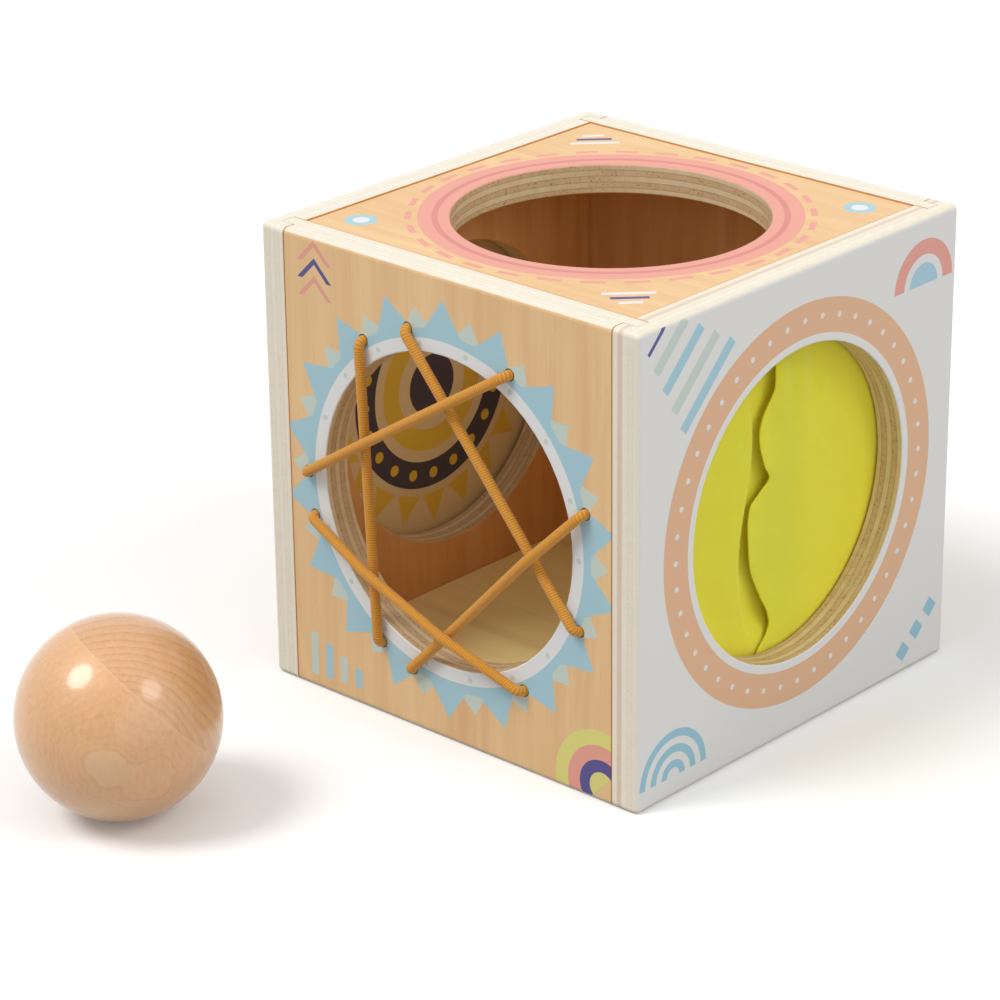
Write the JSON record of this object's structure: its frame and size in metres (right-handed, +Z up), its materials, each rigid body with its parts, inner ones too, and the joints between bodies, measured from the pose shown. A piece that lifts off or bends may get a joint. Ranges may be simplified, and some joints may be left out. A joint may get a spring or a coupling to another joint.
{
  "type": "activity box",
  "caption": "Wooden cube box for a child's hand and ball play, with an elastic web, a cloth curtain, a swinging round door, an open top hole and a loose ball.",
  "frame": {"origin": "centre of the box's underside, on the floor", "axes": "+Z up, -Y the side with the elastic web, +X the side with the curtain, -X the side with the door"},
  "size_m": [0.1307, 0.227, 0.123],
  "materials": {
    "birch_ply": "sanded and clear matt lacquered birch plywood with printed colour on the faces",
    "white_ply": "plywood with one white painted face",
    "door_ply": "clear lacquered thin plywood with printed colour on both faces",
    "elastic": "ochre round elastic cord with a wound textile cover",
    "jersey": "yellow stretch jersey, matt, cut edges",
    "steel": "zinc plated steel",
    "nylon": "natural nylon",
    "turned_wood": "turned solid wood under clear satin lacquer"
  },
  "bodies": {
    "box": {"front_panel": "birch_ply", "back_panel": "birch_ply", "left_panel": "birch_ply", "bottom_panel": "birch_ply", "top_panel": "birch_ply", "curtain_ring": "birch_ply", "right_panel": "white_ply", "elastic_cord": "elastic", "elastic_knot": "elastic", "curtain_front_flap": "jersey", "curtain_rear_flap": "jersey", "door_pivot_screw": "steel", "door_washer": "nylon", "curtain_ring_screw_1": "steel", "curtain_ring_screw_2": "steel", "curtain_ring_screw_3": "steel", "curtain_ring_screw_4": "steel", "curtain_ring_screw_5": "steel", "curtain_ring_screw_6": "steel"},
    "door": {"swing_door": "door_ply"},
    "ball": {"ball": "turned_wood"}
  },
  "joints": [
    {"name": "door_swing", "type": "hinge", "parent": "box", "child": "door", "pos_m": [-0.0647, 0, 0.1085], "axis": [-1, 0, 0], "continuous": true},
    {"name": "ball_roll", "type": "hinge", "parent": "box", "child": "ball", "pos_m": [-0.0336, -0.1405, 0.025], "axis": [1, 0, 0], "continuous": true}
  ]
}
